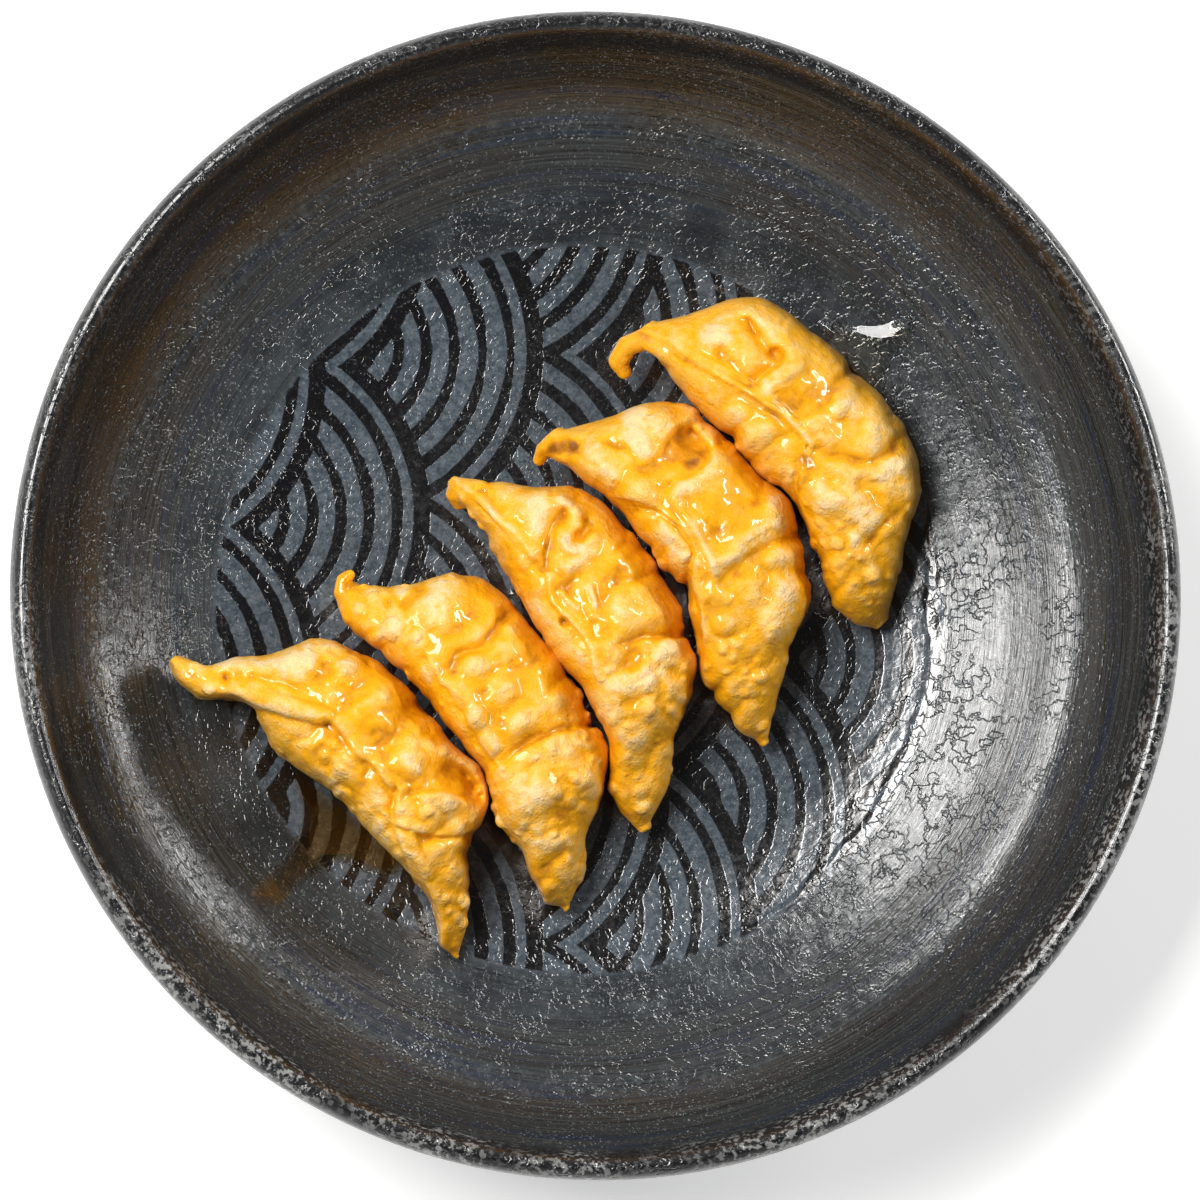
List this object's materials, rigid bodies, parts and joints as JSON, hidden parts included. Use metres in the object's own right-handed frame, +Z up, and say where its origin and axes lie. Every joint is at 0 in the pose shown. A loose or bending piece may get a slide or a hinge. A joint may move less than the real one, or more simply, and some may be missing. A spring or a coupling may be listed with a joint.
{
  "type": "fried dumplings on a plate",
  "caption": "Deep round glazed plate holding a row of half-moon fried dumplings with folded crests and narrow tails.",
  "frame": {"origin": "middle of the foot ring, on the surface that the plate stands on", "axes": "+Z up out of the plate; the dumplings lie in a row with their heads towards -X and +Y and their tails towards +X and -Y"},
  "size_m": [0.24, 0.24, 0.054],
  "materials": {
    "glazed_stoneware": "dark blue-grey speckled gloss glaze over a brushed wall, with a wave pattern on the floor and a black lip",
    "fried_dough": "pale cream to golden fried dough with a thin glossy coat of oil and sauce"
  },
  "bodies": {
    "root": {"plate": "glazed_stoneware", "dumpling_1": "fried_dough", "dumpling_2": "fried_dough", "dumpling_3": "fried_dough", "dumpling_4": "fried_dough", "dumpling_5": "fried_dough"}
  },
  "joints": []
}
